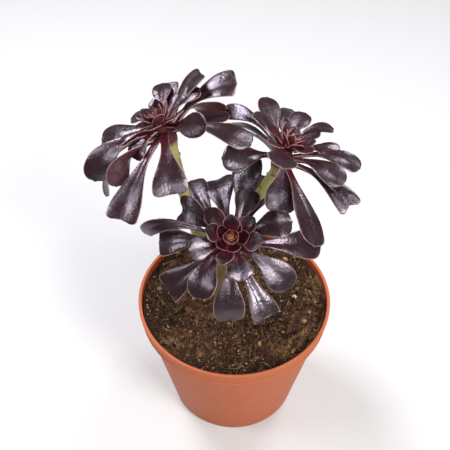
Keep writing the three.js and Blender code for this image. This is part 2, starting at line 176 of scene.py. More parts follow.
RIGHT_LEAVES = [
    (116, 5, 23, 13, 6, -24, -7, 36, 14, 0.68),
    (96, 4, 25, 9, -8, -31, -3, 36.5, 11, 0.76),
    (74, 6, 27, 15, 7, -10, 0, 29, 13, 0.68),
    (52, 6, 22, 7, -6, -12, 45, 26, 8, 0.70),
    (58, 3, 30, 4, -18, -20, 28, 44, 8, 0.76),
    (0, 5, 33, 19, 11, -8, 18, 24, 11, 0.78),
    (342, 2, 36, 18, -16, 0, 40, 37, 11, 0.76),
    (313, 1, 34, 14, -24, 4, 35, 35, 14, 0.76),
    (314, -1, 24, -1, -27, 10, 44, 44, 14, 0.90),
    (281, 0, 2, -9, -18, 9, -20, 57, 17.5, 0.82),
    (272, 2, -14, -32, -50, 0, 10, 32, 18, 0.72, 15),
    (249, 5, 25, 15, 11, 27, -2, 31, 16.5, 0.66),
    (212, 1, 10, -1, -4, -5, -70, 33, 15.5, 0.74),
    (136, 2, 36, -3, -41, 0, -60, 44, 11, 0.78),
    (112, -2, 5, -11, -24, 32, 45, 40, 13, 0.78),
    (131, 1, 13, -15, -42, -10, 0, 47, 13, 0.76),
    (148, 5, 46, 32, 22, 13, 5, 20.5, 15, 0.74),
]
RIGHT_BUD_LEAVES = [
    (102, 7, 37, 30, 22, -7, -14, 15, 8.2, 0.68),
    (70, 7, 48, 41, 35, -4, -16, 9.5, 8.7, 0.68),
    (352, 7, 40, 34, 28, 7, 11, 12, 10.5, 0.72),
    (305, 7, 32, 27, 22, 0, 26, 16, 8.5, 0.74),
    (152, 7, 36, 28, 20, 0, 0, 13, 9, 0.70),
    (222, 6, 30, 22, 16, 0, 0, 12, 9, 0.70),
]

# A rosette's base is a place. It and its bud each lean so many degrees from the vertical,
# toward a compass angle. branch lists the points of its branch above the fork.
Rosette = namedtuple(
    "Rosette", "name base lean toward bud_lean bud_toward branch leaves bud_leaves")
ROSETTES = [
    Rosette("front", (-2, -18, 158.5), 29, 265, 29, 265,
            [(-9, 1, 122), (-6, -8, 140)], FRONT_LEAVES, FRONT_BUD_LEAVES),
    Rosette("left", (-36.5, 14.5, 208), 22, 150, 34, 170,
            [(-19.5, 8, 131), (-28, 11, 165)], LEFT_LEAVES, LEFT_BUD_LEAVES),
    Rosette("right", (24, 7, 198.5), 19, 30, 33, 16,
            [(-4, 7, 130), (8, 7, 160)], RIGHT_LEAVES, RIGHT_BUD_LEAVES),
]

# Rings of small closed leaves around the growing tip of each bud.
Ring = namedtuple("Ring", "count height tilt length width turn")
BUD_RINGS = [
    Ring(5, 0.5, 50, 10.5, 8.5, 0),
    Ring(5, 1.8, 62, 7, 5.5, 36),
    Ring(5, 2.6, 62, 4.6, 2.9, 10),
    Ring(5, 3.2, 66, 3.2, 1.9, 44),
    Ring(4, 3.7, 76, 2.2, 1.4, 20),
]
RING_START_RADIUS = 2.2
# How much nearer to the middle each ring starts, as a share of the first one's radius.
RING_NARROWING = 0.22
RING_TIP_RISE = 10
RING_CUP = 25
RING_WIDEST_AT = 0.62

# Leaves whose ends are clearly notched in the middle, with the depth in mm.
NOTCHES = {
    "front_leaf_03": 4.5,
    "front_leaf_05": 2.5,
    "front_leaf_06": 2.0,
    "front_leaf_12": 1.6,
    "front_leaf_14": 1.2,
    "left_leaf_03": 1.8,
    "left_leaf_10": 1.4,
    "left_leaf_11": 2.2,
    "right_leaf_09": 3.0,
    "right_leaf_11": 2.6,
    "right_leaf_14": 1.8,
}

# What sets the open leaves apart from the small leaves of the buds.
Kind = namedtuple("Kind", "slot rings across hair_spacing hair_length")
OPEN_KIND = Kind("leaf", 46, 15, 0.75, 0.45)
BUD_KIND = Kind("bud_leaf", 26, 11, 0.6, 0.2)
LEAF_START_RADIUS = 5.5
BUD_START_RADIUS = 3.0
# The blades are rooted a little way inside the crown.
ROOT_DEPTH = 0.8

# The outline of a blade: its stalk, and how blunt its end is.
STALK_WIDTH_RATIO = 0.24
STALK_END = 0.14
STALK_SLIMNESS = 1.5
ROUND_WIDEST_AT = 0.72
ROUND_END = 2.5
END_SQUARENESS = 16
# The rib and the notch, as shares of the width.
RIB_WIDTH = 0.07
NOTCH_WIDTH = 0.20

# The mesh of a blade. The last ring stops just short of the tip, where the width is nothing.
MIDLINE_STEPS = 160
LAST_RING = 0.9995
RING_CROWDING = 1.55

# The fringe starts beyond the stalk, and each hair's foot is sunk in the margin.
HAIR_START = 0.3
HAIR_RADIUS = 0.11
HAIR_ROOT_DEPTH = 0.12
HAIR_FACES = [(0, 2, 1), (0, 1, 3), (1, 2, 3), (2, 0, 3)]


# ---- Nodes ----

def put(tree, socket, value):
    """Links a value that is a socket, and sets any other."""
    if isinstance(value, bpy.types.NodeSocket):
        tree.links.new(value, socket)
    else:
        socket.default_value = value


def node(tree, kind, values=None, **settings):
    """Adds a shader node. values are its inputs, by name or number."""
    made = tree.nodes.new("ShaderNode" + kind)
    for key, value in settings.items():
        setattr(made, key, value)
    for key, value in (values or {}).items():
        put(tree, made.inputs[key], value)
    return made


def rgba(colour):
    """A colour that is a socket as it is, and (r, g, b) with its alpha."""
    return colour if isinstance(colour, bpy.types.NodeSocket) else (*colour, 1)


def mix(tree, factor, first, second):
    """A colour mixed from two others, each a socket or (r, g, b)."""
    values = {0: factor, 6: rgba(first), 7: rgba(second)}
    return node(tree, "Mix", values, data_type="RGBA").outputs[2]


def ramp(tree, factor, stops):
    """A colour ramp with the given (position, (r, g, b)) stops."""
    made = node(tree, "ValToRGB", {"Fac": factor})
    elements = made.color_ramp.elements
    while len(elements) < len(stops):
        elements.new(0.5)
    for element, (position, colour) in zip(elements, stops):
        element.position = position
        element.color = rgba(colour)
    return made.outputs["Color"]


def grey(tree, factor, start, end, low=0.0, high=1.0):
    """A grey that runs from low, where the factor is start, to high, where it is end."""
    return ramp(tree, factor, [(start, (low,) * 3), (end, (high,) * 3)])


def attribute(tree, name, output="Fac"):
    return node(tree, "Attribute", attribute_name=name).outputs[output]


def place(tree):
    return node(tree, "TexCoord").outputs["Object"]


def noise(tree, scale, detail=4.0, roughness=0.55, vector=None):
    """Noise over the place on the object in metres, or over another vector."""
    values = {
        "Vector": place(tree) if vector is None else vector,
        "Scale": scale,
        "Detail": detail,
        "Roughness": roughness,
    }
    return node(tree, "TexNoise", values).outputs[0]


def math_node(tree, operation, first, second):
    return node(tree, "Math", {0: first, 1: second}, operation=operation).outputs[0]


def times(tree, first, second):
    return math_node(tree, "MULTIPLY", first, second)


def bump(tree, height, distance, strength, normal=None):
    values = {"Height": height, "Distance": distance, "Strength": strength}
    if normal is not None:
        values["Normal"] = normal
    return node(tree, "Bump", values).outputs["Normal"]


def new_material(name, skin, shine, tint=None):
    """A Principled material. skin makes its colour, roughness and normal in the tree."""
    material = bpy.data.materials.new(name)
    material.use_nodes = True
    tree = material.node_tree
    shader = tree.nodes["Principled BSDF"]
    for key, value in zip(("Base Color", "Roughness", "Normal"), skin(tree)):
        tree.links.new(value, shader.inputs[key])
    shader.inputs["Specular IOR Level"].default_value = shine
    if tint:
        shader.inputs["Specular Tint"].default_value = tint
    return material


# ---- Leaf and bud materials ----

LEAF_DARK = (0.004, 0.0008, 0.0012)
LEAF_BROWN = (0.023, 0.003, 0.005)
LEAF_SPECK = (0.040, 0.014, 0.016)
LEAF_RED = (0.085, 0.006, 0.012)
LEAF_UNDER = (0.075, 0.020, 0.024)
LEAF_UNDER_DARK = (0.030, 0.011, 0.015)
LEAF_MARGIN = (0.36, 0.23, 0.21)
LEAF_SHEEN = (0.93, 0.83, 0.98, 1.0)

BUD_DARK = (0.012, 0.005, 0.007)
BUD_RED = (0.16, 0.009, 0.015)
BUD_RED_SHADE = (0.085, 0.007, 0.012)
BUD_GOLD = (0.75, 0.52, 0.13)
BUD_ORANGE = (0.60, 0.29, 0.09)
BUD_MARGIN = (0.50, 0.20, 0.21)
BUD_SHEEN = (0.90, 0.88, 1.0, 1.0)

FRINGE_DARK = (0.36, 0.20, 0.21)
FRINGE_PALE = (0.62, 0.42, 0.42)
# How much of the margin's own colour shows along the edge of a blade.
MARGIN_SHARE = 0.8


def streaks(tree, across, along):
    """Noise drawn out along the leaf, from the leaf's own coordinates in mm."""
    values = {0: attribute(tree, "leaf_place", "Vector"), 1: (across, along, 1.0)}
    drawn_out = node(tree, "VectorMath", values, operation="MULTIPLY").outputs[0]
    return noise(tree, 1.0, 3.0, vector=drawn_out)


def with_margin(tree, body, start, end, colour):
    """The body colour with a coloured margin, from start to end on the way to the edge."""
    rim = grey(tree, attribute(tree, "edge"), start, end)
    return mix(tree, times(tree, rim, MARGIN_SHARE), body, colour)


def leaf_surface(tree):
    """The roughness and normal of every leaf: cloudy, with dimples and fine pebbles."""
    roughness = grey(tree, noise(tree, 110.0, 3.0), 0.35, 0.65, 0.22, 0.36)
    dimples = bump(tree, noise(tree, 160.0, 2.0, 0.5), 0.0008, 0.35)
    return roughness, bump(tree, noise(tree, 700.0, 2.0, 0.5), 0.00020, 0.7, dimples)


def leaf_skin(tree):
    """Near black above and red brown below, with a red foot and a pale margin."""
    mottled = mix(tree, streaks(tree, 0.3, 0.1), LEAF_DARK, LEAF_BROWN)
    speckle = grey(tree, noise(tree, 1300.0, 3.0), 0.45, 0.75)
    upper = mix(tree, times(tree, speckle, 0.3), mottled, LEAF_SPECK)
    redness = grey(tree, attribute(tree, "along"), 0.08, 0.55, 1.0, 0.0)
    upper = mix(tree, times(tree, redness, attribute(tree, "tone")), upper, LEAF_RED)
    under = mix(tree, streaks(tree, 0.9, 0.15), LEAF_UNDER, LEAF_UNDER_DARK)
    body = mix(tree, attribute(tree, "upper"), under, upper)
    return with_margin(tree, body, 0.94, 0.985, LEAF_MARGIN), *leaf_surface(tree)


def bud_skin(tree):
    """Dark red leaves with a red foot, turning to gold at the growing tip, where tone is 1."""
    age = attribute(tree, "tone")
    along = attribute(tree, "along")
    red = mix(tree, streaks(tree, 0.8, 0.3), BUD_RED, BUD_RED_SHADE)
    dark = mix(tree, streaks(tree, 0.5, 0.12), BUD_DARK, LEAF_BROWN)
    dark_share = grey(tree, math_node(tree, "SUBTRACT", along, age), 0.15, 0.75)
    old = mix(tree, dark_share, red, dark)
    young = mix(tree, along, BUD_GOLD, BUD_ORANGE)
    body = mix(tree, grey(tree, age, 0.4, 0.95), old, young)
    body = mix(tree, attribute(tree, "upper"), LEAF_UNDER, body)
    return with_margin(tree, body, 0.88, 0.97, BUD_MARGIN), *leaf_surface(tree)


def fringe_skin(tree):
    colour = mix(tree, noise(tree, 600.0), FRINGE_DARK, FRINGE_PALE)
    roughness = grey(tree, noise(tree, 900.0), 0.3, 0.7, 0.5, 0.7)
    return colour, roughness, bump(tree, noise(tree, 2500.0), 0.00003, 0.3)


# ---- Stem materials ----

STEM_BROWN = (0.16, 0.10, 0.055)
STEM_OLIVE = (0.24, 0.19, 0.07)
STEM_GREEN = (0.36, 0.33, 0.10)
STEM_PATCH = (0.13, 0.075, 0.04)
STEM_FLECK = (0.42, 0.38, 0.2)
STEM_CROWN = (0.075, 0.010, 0.014)
SCAR_DARK = (0.10, 0.055, 0.03)
SCAR_PALE = (0.22, 0.14, 0.07)
# Brings the stem's height in metres near the range from 0 to 1.
STEM_HEIGHT_SCALE = 6.5


def bark_surface(tree):
    roughness = grey(tree, noise(tree, 500.0), 0.3, 0.7, 0.45, 0.62)
    return roughness, bump(tree, noise(tree, 420.0, 4.0), 0.0005, 0.5)


def stem_skin(tree):
    """Woody brown below and green above, with a dark red crown under the leaves."""
    height = node(tree, "SeparateXYZ", {"Vector": place(tree)}).outputs["Z"]
    stops = [(0.58, STEM_BROWN), (0.75, STEM_OLIVE), (0.90, STEM_GREEN)]
    by_height = ramp(tree, times(tree, height, STEM_HEIGHT_SCALE), stops)
    patches = grey(tree, noise(tree, 160.0, 5.0), 0.42, 0.70)
    body = mix(tree, times(tree, patches, 0.55), by_height, STEM_PATCH)
    body = mix(tree, times(tree, noise(tree, 1500.0, 3.0), 0.25), body, STEM_FLECK)
    return mix(tree, attribute(tree, "crown"), body, STEM_CROWN), *bark_surface(tree)


def scar_skin(tree):
    return mix(tree, noise(tree, 900.0), SCAR_DARK, SCAR_PALE), *bark_surface(tree)


# ---- Soil materials ----

# Colours by the tone attribute, from the darkest peat to the palest grit.
SOIL_TONES = [
    (0.0, (0.009, 0.0045, 0.0025)),
    (0.40, (0.050, 0.022, 0.011)),
    (0.75, (0.220, 0.115, 0.050)),
    (0.93, (0.44, 0.27, 0.13)),
    (1.0, (0.62, 0.52, 0.38)),
]
FIBRE_TONES = [
    (0.0, (0.060, 0.028, 0.014)),
    (0.55, (0.17, 0.088, 0.042)),
    (1.0, (0.42, 0.27, 0.15)),
]
SOIL_GRAIN = (0.030, 0.016, 0.009)


def soil_surface(tree):
    roughness = grey(tree, noise(tree, 700.0), 0.3, 0.7, 0.82, 0.97)
    coarse = bump(tree, noise(tree, 420.0, 8.0, 0.7), 0.0014, 0.9)
    return roughness, bump(tree, noise(tree, 1900.0, 6.0, 0.7), 0.0006, 0.9, coarse)


def soil_skin(tree):
    tone = ramp(tree, attribute(tree, "tone"), SOIL_TONES)
    grain = grey(tree, noise(tree, 900.0, 6.0, 0.7), 0.3, 0.7)
    return mix(tree, times(tree, grain, 0.4), tone, SOIL_GRAIN), *soil_surface(tree)


def fibre_skin(tree):
    return ramp(tree, attribute(tree, "tone"), FIBRE_TONES), *soil_surface(tree)


# ---- Pot and floor materials ----

POT_FACE = (0.390, 0.097, 0.036)
POT_FACE_PALE = (0.440, 0.118, 0.046)
POT_DUST = (0.40, 0.15, 0.09)
POT_INNER = (0.34, 0.058, 0.017)
POT_INNER_PALE = (0.41, 0.082, 0.028)
FLOOR_GREY = (0.58, 0.58, 0.58)
FLOOR_GREY_PALE = (0.59, 0.59, 0.59)


def pot_skin(tree):
    """Dusty terracotta plastic, redder inside the rim, where the attribute inside is 1."""
    face = mix(tree, noise(tree, 45.0, 5.0), POT_FACE, POT_FACE_PALE)
    dust = grey(tree, noise(tree, 420.0, 6.0, 0.7), 0.55, 0.8)
    face = mix(tree, times(tree, dust, 0.25), face, POT_DUST)
    inner = mix(tree, noise(tree, 120.0, 4.0), POT_INNER, POT_INNER_PALE)
    roughness = grey(tree, noise(tree, 260.0, 4.0), 0.3, 0.7, 0.50, 0.62)
    waves = bump(tree, noise(tree, 70.0, 2.0), 0.0008, 0.12)
    grain = bump(tree, noise(tree, 2600.0, 3.0), 0.00005, 0.5, waves)
    return mix(tree, attribute(tree, "inside"), face, inner), roughness, grain


def floor_skin(tree):
    colour = mix(tree, noise(tree, 3.0), FLOOR_GREY, FLOOR_GREY_PALE)
    roughness = grey(tree, noise(tree, 5.0), 0.0, 1.0, 0.9, 0.95)
    return colour, roughness, bump(tree, noise(tree, 900.0), 0.00001, 0.1)


# ---- Mesh helpers ----

def new_object(name, points, faces, materials, slot_name=None, face_slots=None, attributes=None):
    """A smooth mesh object from points in mm. attributes maps names to per-point arrays."""
    mesh = bpy.data.meshes.new(name)
    mesh.from_pydata((np.asarray(points) * MM).tolist(), [], faces)
    for material in materials:
        mesh.materials.append(material)
    if face_slots is not None:
        mesh.polygons.foreach_set("material_index", face_slots)
    smooth_faces(mesh)
    for key, values in (attributes or {}).items():
        add_attribute(mesh, key, values)
    mesh.update()
    made = bpy.data.objects.new(name, mesh)
    bpy.context.scene.collection.objects.link(made)
    if slot_name:
        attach(made, "root")
    return made


def smooth_faces(mesh):
    mesh.polygons.foreach_set("use_smooth", np.ones(len(mesh.polygons), bool))


def add_attribute(mesh, name, values):
    """Stores one number or one vector for each point of the mesh."""
    values = np.asarray(values, np.float32)
    kind, field = ("FLOAT_VECTOR", "vector") if values.ndim == 2 else ("FLOAT", "value")
    mesh.attributes.new(name, kind, "POINT").data.foreach_set(field, values.ravel())


def apply_modifiers(made):
    graph = bpy.context.evaluated_depsgraph_get()
    mesh = bpy.data.meshes.new_from_object(made.evaluated_get(graph))
    made.modifiers.clear()
    made.data = mesh


def loft_faces(rings, sides, capped=True):
    """Faces that skin equal rings of points, numbered ring by ring, anticlockwise from ahead."""
    faces = []
    for ring in range(rings - 1):
        for side in range(sides):
            following = (side + 1) % sides
            start = ring * sides
            faces.append((start + side, start + following,
                          start + sides + following, start + sides + side))
    if capped:
        faces.append(tuple(reversed(range(sides))))
        faces.append(tuple(range((rings - 1) * sides, rings * sides)))
    return faces


def renumbered(faces, first):
    """The faces of a part whose points follow first others in a joined mesh."""
    return [tuple(first + corner for corner in face) for face in faces]


def smooth_step(low, high, value):
    share = np.clip((value - low) / (high - low), 0.0, 1.0)
    return share * share * (3 - 2 * share)


def unit(vectors):
    """The rows of an array, each made one long."""
    return vectors / np.linalg.norm(vectors, axis=-1, keepdims=True)


def ring_angles(sides):
    return np.arange(sides) / sides * 2 * math.pi


def circles(first, second, sides):
    """Rings of directions, one ring for each pair of rows of first and second."""
    angle = ring_angles(sides)[None, :, None]
    return first[:, None] * np.cos(angle) + second[:, None] * np.sin(angle)


def read_along(at, walked, values):
    """Rows of values, known at the walked distances, read at other distances."""
    return np.stack([np.interp(at, walked, values[:, axis]) for axis in range(3)], -1)


def tilted_basis(lean, toward):
    """The 3 by 3 basis whose third column leans from the vertical, all in degrees."""
    lean = math.radians(lean)
    toward = math.radians(toward)
    level = math.sin(lean)
    axis = np.array([level * math.cos(toward), level * math.sin(toward), math.cos(lean)])
    across = unit(np.array([1.0, 0.0, 0.0]) - axis * axis[0])
    return np.stack([across, np.cross(axis, across), axis], 1)


def crown_frame(rosette):
    """The rosette's origin and basis."""
    return np.array(rosette.base, float), tilted_basis(rosette.lean, rosette.toward)


def bud_frame(rosette):
    """The origin and basis of the small leaves at the rosette's heart."""
    base, basis = crown_frame(rosette)
    bud_basis = tilted_basis(rosette.bud_lean, rosette.bud_toward)
    return base + basis[:, 2] * CROWN_HEIGHT, bud_basis


# ---- Leaf shape ----

def three_way(base, middle, tip, s):
    """The curve through base, middle and tip values at s = 0, 0.5 and 1."""
    return base * (1 - s) * (1 - 2 * s) + middle * 4 * s * (1 - s) + tip * s * (2 * s - 1)


def half_width(leaf, s):
    """Half the blade's width. The nearer to the tip it is widest, the squarer its end."""
    rise = smooth_step(STALK_END, leaf.widest_at, s) ** STALK_SLIMNESS
    body = STALK_WIDTH_RATIO + (1 - STALK_WIDTH_RATIO) * rise
    square = ROUND_END + END_SQUARENESS * max(leaf.widest_at - ROUND_WIDEST_AT, 0)
    beyond = np.clip((s - leaf.widest_at) / (1 - leaf.widest_at), 0, 1)
    return leaf.width / 2 * body * np.sqrt(1 - beyond ** square)


def leaf_axes(leaf, s):
    """Unit vectors along, across and out of the leaf's upper face, at fractions s of its length."""
    angle = np.radians(leaf.compass + leaf.sweep * s)
    tilt = np.radians(three_way(leaf.tilt_base, leaf.tilt_middle, leaf.tilt_tip, s))
    along = np.stack([np.cos(angle) * np.cos(tilt), np.sin(angle) * np.cos(tilt), np.sin(tilt)], -1)
    flat = np.stack([-np.sin(angle), np.cos(angle), 0 * angle], -1)
    turn = np.radians(leaf.twist * s)[..., None]
    side = flat * np.cos(turn) + np.cross(along, flat) * np.sin(turn)
    return along, side, np.cross(along, side)


def leaf_midline(leaf, start_radius, s):
    """Points at fractions s of the leaf's length, in the crown's frame."""
    fine = np.linspace(0, 1, MIDLINE_STEPS + 1)
    halfway = (fine[1:] + fine[:-1]) / 2
    steps = leaf_axes(leaf, halfway)[0] * (leaf.length + ROOT_DEPTH) / MIDLINE_STEPS
    angle = math.radians(leaf.compass)
    root = start_radius - ROOT_DEPTH
    start = np.array([root * math.cos(angle), root * math.sin(angle), leaf.height])
    line = start + np.concatenate([np.zeros((1, 3)), np.cumsum(steps, 0)])
    return read_along(s, fine, line)


def blade_grid(rings, across):
    """Grids of s along and q across the leaf, and of the face each point is on.

    Rings crowd towards the tip. Each ring goes over the upper face, where face is 1 and q
    falls from 1 to -1, and back under the lower, where it is -1. On the margins it is 0.
    """
    s = 1 - (1 - np.linspace(0, LAST_RING, rings)) ** RING_CROWDING
    q = np.sin(np.linspace(1, -1, across) * math.pi / 2)
    face = np.concatenate([np.ones(across), -np.ones(across - 2)])
    face[[0, across - 1]] = 0
    s_grid, q_grid = np.meshgrid(s, np.concatenate([q, q[-2:0:-1]]), indexing="ij")
    return s, s_grid, q_grid, np.tile(face, (rings, 1))


def blade_rise(leaf, look, s, q, x, half, ripple, face):
    """How far each point lies above the midline, in mm."""
    # The stalk is a plain channel, and the blade bulges in two lobes beside a middle groove.
    blade = smooth_step(0.25, 0.65, s)
    channel = half * math.sin(math.radians(leaf.cup)) * q ** 2 * (1 - 0.75 * blade)
    bulge = np.sin(np.abs(q) * math.pi) - 0.45 * q ** 4
    lobes = look["lobes"] * leaf.width * blade * bulge
    lift = channel + lobes + ripple * q ** 2 * smooth_step(0.2, 0.6, s)
    stalk = 1 - smooth_step(0.08, 0.5, s)
    thick = look["thick"] * (0.62 + 0.5 * stalk - 0.22 * smooth_step(0.8, 1.0, s))
    round_edge = np.sqrt(np.clip(1 - np.abs(q) ** 2.4, 0, 1))
    rib_ends = smooth_step(0.1, 0.35, s) * (1 - smooth_step(0.8, 0.97, s))
    rib = np.exp(-(x / (RIB_WIDTH * leaf.width)) ** 2) * rib_ends
    curl = look["curl"] * smooth_step(0.7, 1.0, s)
    groove = look["groove"] * rib * np.where(face > 0, 1.0, 0.9)
    return lift + face * thick * round_edge - groove - curl


def blade_reach(leaf, look, s, x):
    """How far a notch in the blunt end and a short point on it move each point forward."""
    notch = np.exp(-(x / (NOTCH_WIDTH * leaf.width)) ** 2) * smooth_step(0.78, 1.0, s)
    tip = smooth_step(look["point_start"], 1.0, s)
    point = np.exp(-(x / (look["point_width"] * leaf.width)) ** 2) * tip
    return look["point"] * point - look["notch"] * notch


def leaf_piece(leaf, start_radius, crown, look, kind, rng):
    """One leaf in mm, as (points, attributes, edge). edge describes its margin for fringe."""
    s, s_grid, q_grid, face = blade_grid(kind.rings, kind.across)
    along, side, normal = leaf_axes(leaf, s)
    middle = leaf_midline(leaf, start_radius, s)

    # Each margin gets its own slow waves, so that no two leaves are alike.
    phase = rng.uniform(0, 2 * math.pi, 4)
    on_right = q_grid > 0
    sway = np.where(on_right, np.sin(5.0 * s_grid + phase[0]), np.sin(5.5 * s_grid + phase[1]))
    wave = np.where(on_right, np.sin(11 * s_grid + phase[2]), np.sin(12 * s_grid + phase[3]))
    half = half_width(leaf, s_grid) * (1 + look["uneven"] * sway)
    x = q_grid * half * math.cos(math.radians(leaf.cup))
    up = blade_rise(leaf, look, s_grid, q_grid, x, half, look["ripple"] * wave, face)
    forward = blade_reach(leaf, look, s_grid, x)
    points = (
        middle[:, None]
        + side[:, None] * x[..., None]
        + normal[:, None] * up[..., None]
        + along[:, None] * forward[..., None]
    )
    base, basis = crown
    points = points @ basis.T + base
    offset = np.full(x.size, rng.uniform(0, 500))
    attributes = {
        "along": s_grid.ravel(),
        "edge": np.abs(q_grid).ravel(),
        "upper": (face.ravel() + 1) / 2,
        "tone": np.full(x.size, look["tone"]),
        "leaf_place": np.stack([x.ravel(), (s_grid * leaf.length).ravel(), offset], 1),
    }
    # The margin runs out along the right edge and back along the left.
    edge = (
        np.concatenate([points[:, 0], points[::-1, kind.across - 1]]),
        np.concatenate([side, -side[::-1]]) @ basis.T,
        np.concatenate([along, along[::-1]]) @ basis.T,
        np.concatenate([s, s[::-1]]),
    )
    return points.reshape(-1, 3), attributes, edge


def fringe(margin, out, ahead, fraction, kind, rng):
    """Tiny four-sided hairs along a leaf's margin, as points and faces."""
    spacing = kind.hair_spacing
    step = np.linalg.norm(np.diff(margin, axis=0), axis=1)
    walked = np.concatenate([[0], np.cumsum(step)])
    at = np.arange(spacing, walked[-1] - spacing, spacing)
    at = at + rng.uniform(-0.3, 0.3, len(at)) * spacing
    at = at[np.interp(at, walked, fraction) > HAIR_START]
    share = np.interp(at, walked, fraction)[:, None]
    foot = read_along(at, walked, margin)
    outward = read_along(at, walked, out)
    forward = read_along(at, walked, ahead)
    # Hairs near the tip lean forward more.
    lean = 0.35 + 1.6 * smooth_step(0.82, 1.0, share)
    reach = unit(outward * (1.05 - smooth_step(0.9, 1.0, share) * 0.6) + forward * lean)
    reach += rng.normal(0, 0.16, reach.shape)
    size = kind.hair_length * rng.uniform(0.6, 1.25, (len(foot), 1))
    wide = forward - reach * np.sum(forward * reach, 1)[:, None]
    wide /= np.linalg.norm(wide, axis=1)[:, None] + 1e-6
    tall = np.cross(reach, wide)
    root = foot - reach * HAIR_ROOT_DEPTH
    behind = root - wide * HAIR_RADIUS * 0.5
    corners = [
        root + wide * HAIR_RADIUS,
        behind + tall * HAIR_RADIUS,
        behind - tall * HAIR_RADIUS,
        root + reach * size,
    ]
    faces = []
    for hair in range(len(foot)):
        faces += renumbered(HAIR_FACES, 4 * hair)
    return np.stack(corners, 1).reshape(-1, 3), faces


def leaf_object(name, leaf, start_radius, crown, look, kind, materials, rng):
    """A leaf with the hairs along its margin. materials are the blade's and the hairs'."""
    points, attributes, edge = leaf_piece(leaf, start_radius, crown, look, kind, rng)
    faces = loft_faces(kind.rings, 2 * kind.across - 2)
    hair_points, hair_faces = fringe(*edge, kind, rng)
    face_slots = [0] * len(faces) + [1] * len(hair_faces)
    for key, values in attributes.items():
        filler = np.ones((len(hair_points), *values.shape[1:]))
        attributes[key] = np.concatenate([values, filler])
    return new_object(name, np.concatenate([points, hair_points]),
                      faces + renumbered(hair_faces, len(points)),
                      materials, kind.slot, face_slots, attributes)


# ---- Leaves and buds ----

def leaf_look(name, rng):
    """The small differences between open leaves: sizes in mm, or shares of the width."""
    shallow = rng.uniform(0.0, 1.0)
    return {
        "uneven": 0.045,
        "ripple": rng.uniform(0.03, 0.12),
        "thick": rng.uniform(0.95, 1.15),
        "groove": rng.uniform(0.05, 0.3),
        "lobes": rng.uniform(0.006, 0.018),
        "notch": NOTCHES.get(name, shallow),
        "point": rng.uniform(0.2, 0.7),
        "point_width": 0.055,
        "point_start": 0.955,
        "curl": rng.uniform(-0.3, 1.2),
        "tone": rng.uniform(0.25, 1.0),
    }


def bud_look(tone, rng):
    """The look of a bud leaf, whose tone runs from 0 outside to 1 at the growing tip."""
    return {
        "uneven": 0.03,
        "ripple": 0.08,
        "thick": 0.75,
        "groove": 0.12,
        "lobes": 0.012,
        "notch": 0.0,
        "point": 1.1,
        "point_width": 0.2,
        "point_start": 0.7,
        "curl": rng.uniform(-0.2, 0.2),
        "tone": tone,
    }


def make_leaves(rosette, rng, materials):
    crown = crown_frame(rosette)
    for index, row in enumerate(rosette.leaves):
        name = f"{rosette.name}_leaf_{index + 1:02d}"
        made = leaf_object(f"{name}_blade", Leaf(*row), LEAF_START_RADIUS, crown,
                           leaf_look(name, rng), OPEN_KIND, materials, rng)
        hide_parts(name)


def ring_leaf(ring, index, rng):
    """One leaf of a bud's ring, a little out of its even place."""
    compass = ring.turn + index * 360 / ring.count + rng.uniform(-5, 5)
    tilt = ring.tilt + rng.uniform(-7, 7)
    return Leaf(compass, ring.height, tilt, tilt, tilt + RING_TIP_RISE, 0, 0,
                ring.length, ring.width, RING_WIDEST_AT, RING_CUP)


def make_bud(rosette, rng, materials):
    crown = crown_frame(rosette)
    name = f"{rosette.name}_bud"
    for index, row in enumerate(rosette.bud_leaves):
        made = leaf_object(f"{name}_outer_{index + 1}", Leaf(*row), BUD_START_RADIUS, crown,
                           bud_look(0.0, rng), BUD_KIND, materials, rng)
        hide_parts(name)
    heart = bud_frame(rosette)
    for ring_index, ring in enumerate(BUD_RINGS):
        start_radius = RING_START_RADIUS * (1 - RING_NARROWING * ring_index)
        tone = ring_index / (len(BUD_RINGS) - 1)
        for index in range(ring.count):
            leaf = ring_leaf(ring, index, rng)
            made = leaf_object(f"{name}_ring_{ring_index + 1}_{index + 1}", leaf, start_radius,
                               heart, bud_look(tone, rng), BUD_KIND, materials, rng)
            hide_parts(name)


# ---- Stem ----

def between(first, second, start, end, t):
    """The point at t on the straight run from first, at start, to second, at end."""
    return ((end - t) * first + (t - start) * second) / (end - start)


def curve_point(four, knots, t):
    """The point at t on the curve that joins the middle two of four points."""
    sides = [between(four[i], four[i + 1], knots[i], knots[i + 1], t) for i in range(3)]
    halves = [between(sides[i], sides[i + 1], knots[i], knots[i + 2], t) for i in range(2)]
    return between(*halves, knots[1], knots[2], t)


def smooth_route(points, per_span):
    """A centripetal curve through the points, ends included."""
    points = np.asarray(points, float)
    ends = [2 * points[0] - points[1], *points, 2 * points[-1] - points[-2]]
    line = []
    for index in range(len(points) - 1):
        four = ends[index:index + 4]
        knots = [0.0]
        for first, second in zip(four, four[1:]):
            knots.append(knots[-1] + np.linalg.norm(second - first) ** 0.5)
        steps = np.linspace(knots[1], knots[2], per_span + 1)[:-1]
        line += [curve_point(four, knots, t) for t in steps]
    return np.array([*line, points[-1]])


def tube(route, radii, sides=20, per_span=12):
    """Points and faces of a round tube whose radius runs evenly through the given radii."""
    line = smooth_route(route, per_span)
    share = np.linspace(0, 1, len(line))
    radius = np.interp(share, np.linspace(0, 1, len(radii)), radii)
    tangent = unit(np.gradient(line, axis=0))
    first = unit(np.cross(tangent, ROUGHLY_ACROSS))
    ring = circles(first, np.cross(tangent, first), sides)
    points = line[:, None] + ring * radius[:, None, None]
    return points.reshape(-1, 3), loft_faces(len(line), sides)


def branch_route(rosette):
    """A branch's points, from the fork to the foot of the crown."""
    base, basis = crown_frame(rosette)
    return [FORK, *rosette.branch, base + basis[:, 2] * BRANCH_END]


